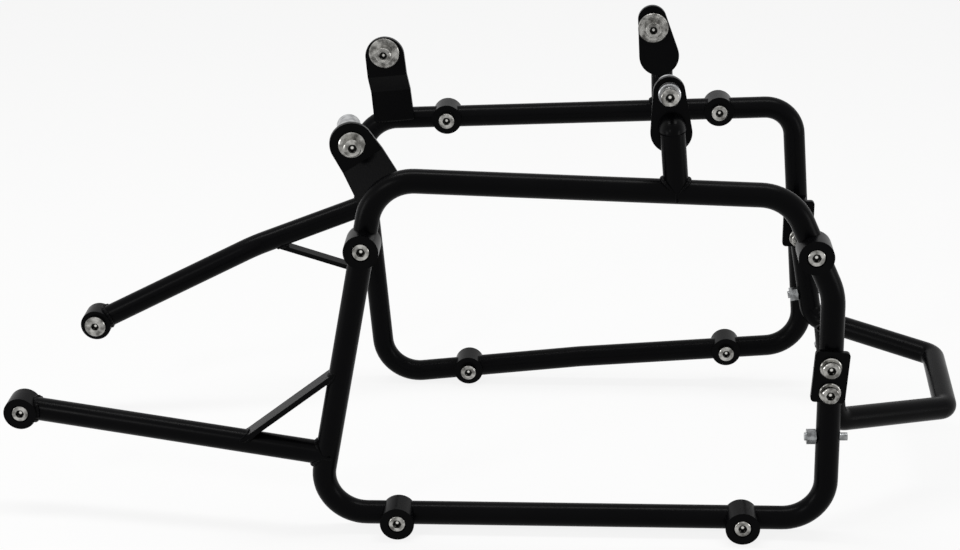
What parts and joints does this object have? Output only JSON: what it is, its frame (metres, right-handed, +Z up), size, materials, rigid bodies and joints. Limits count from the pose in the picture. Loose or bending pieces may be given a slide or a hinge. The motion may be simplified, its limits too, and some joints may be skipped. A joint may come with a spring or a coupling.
{
  "type": "pannier frame",
  "caption": "Pair of bent-tube side racks with boss mounts for cases, forward arms and bolt-on tabs, joined behind the wheel by a tubular crossbar.",
  "frame": {"origin": "on the floor, under the middle of the frame's box", "axes": "+X towards the rear of the motorbike, +Y towards its right side, +Z up"},
  "size_m": [0.7472, 0.317, 0.3564],
  "materials": {
    "coated_steel": "satin black powder coat on steel tube and plate",
    "stainless_steel": "bright turned stainless fasteners and spacers"
  },
  "bodies": {
    "root": {"crossbar": "coated_steel", "left_arm": "coated_steel", "left_arm_boss": "coated_steel", "left_arm_brace": "coated_steel", "left_arm_screw": "stainless_steel", "left_case_bosses": "coated_steel", "left_case_screws": "stainless_steel", "left_clamp_nuts": "stainless_steel", "left_clamp_plate": "coated_steel", "left_clamp_screws": "stainless_steel", "left_clamp_washers": "stainless_steel", "left_front_screw": "stainless_steel", "left_front_spacer": "stainless_steel", "left_front_tab": "coated_steel", "left_front_washer": "stainless_steel", "left_hoop": "coated_steel", "left_stud": "stainless_steel", "left_stud_nut": "stainless_steel", "left_upright_collar": "stainless_steel", "left_upright_plate": "coated_steel", "left_upright_post": "coated_steel", "left_upright_screw": "stainless_steel", "left_upright_spacer": "stainless_steel", "right_arm": "coated_steel", "right_arm_boss": "coated_steel", "right_arm_brace": "coated_steel", "right_arm_screw": "stainless_steel", "right_case_bosses": "coated_steel", "right_case_screws": "stainless_steel", "right_clamp_nuts": "stainless_steel", "right_clamp_plate": "coated_steel", "right_clamp_screws": "stainless_steel", "right_clamp_washers": "stainless_steel", "right_front_screw": "stainless_steel", "right_front_tab": "coated_steel", "right_front_washer": "stainless_steel", "right_hoop": "coated_steel", "right_stud": "stainless_steel", "right_stud_nut": "stainless_steel", "right_upright_plate": "coated_steel", "right_upright_post": "coated_steel", "right_upright_screw": "stainless_steel", "right_upright_washer": "stainless_steel"}
  },
  "joints": []
}
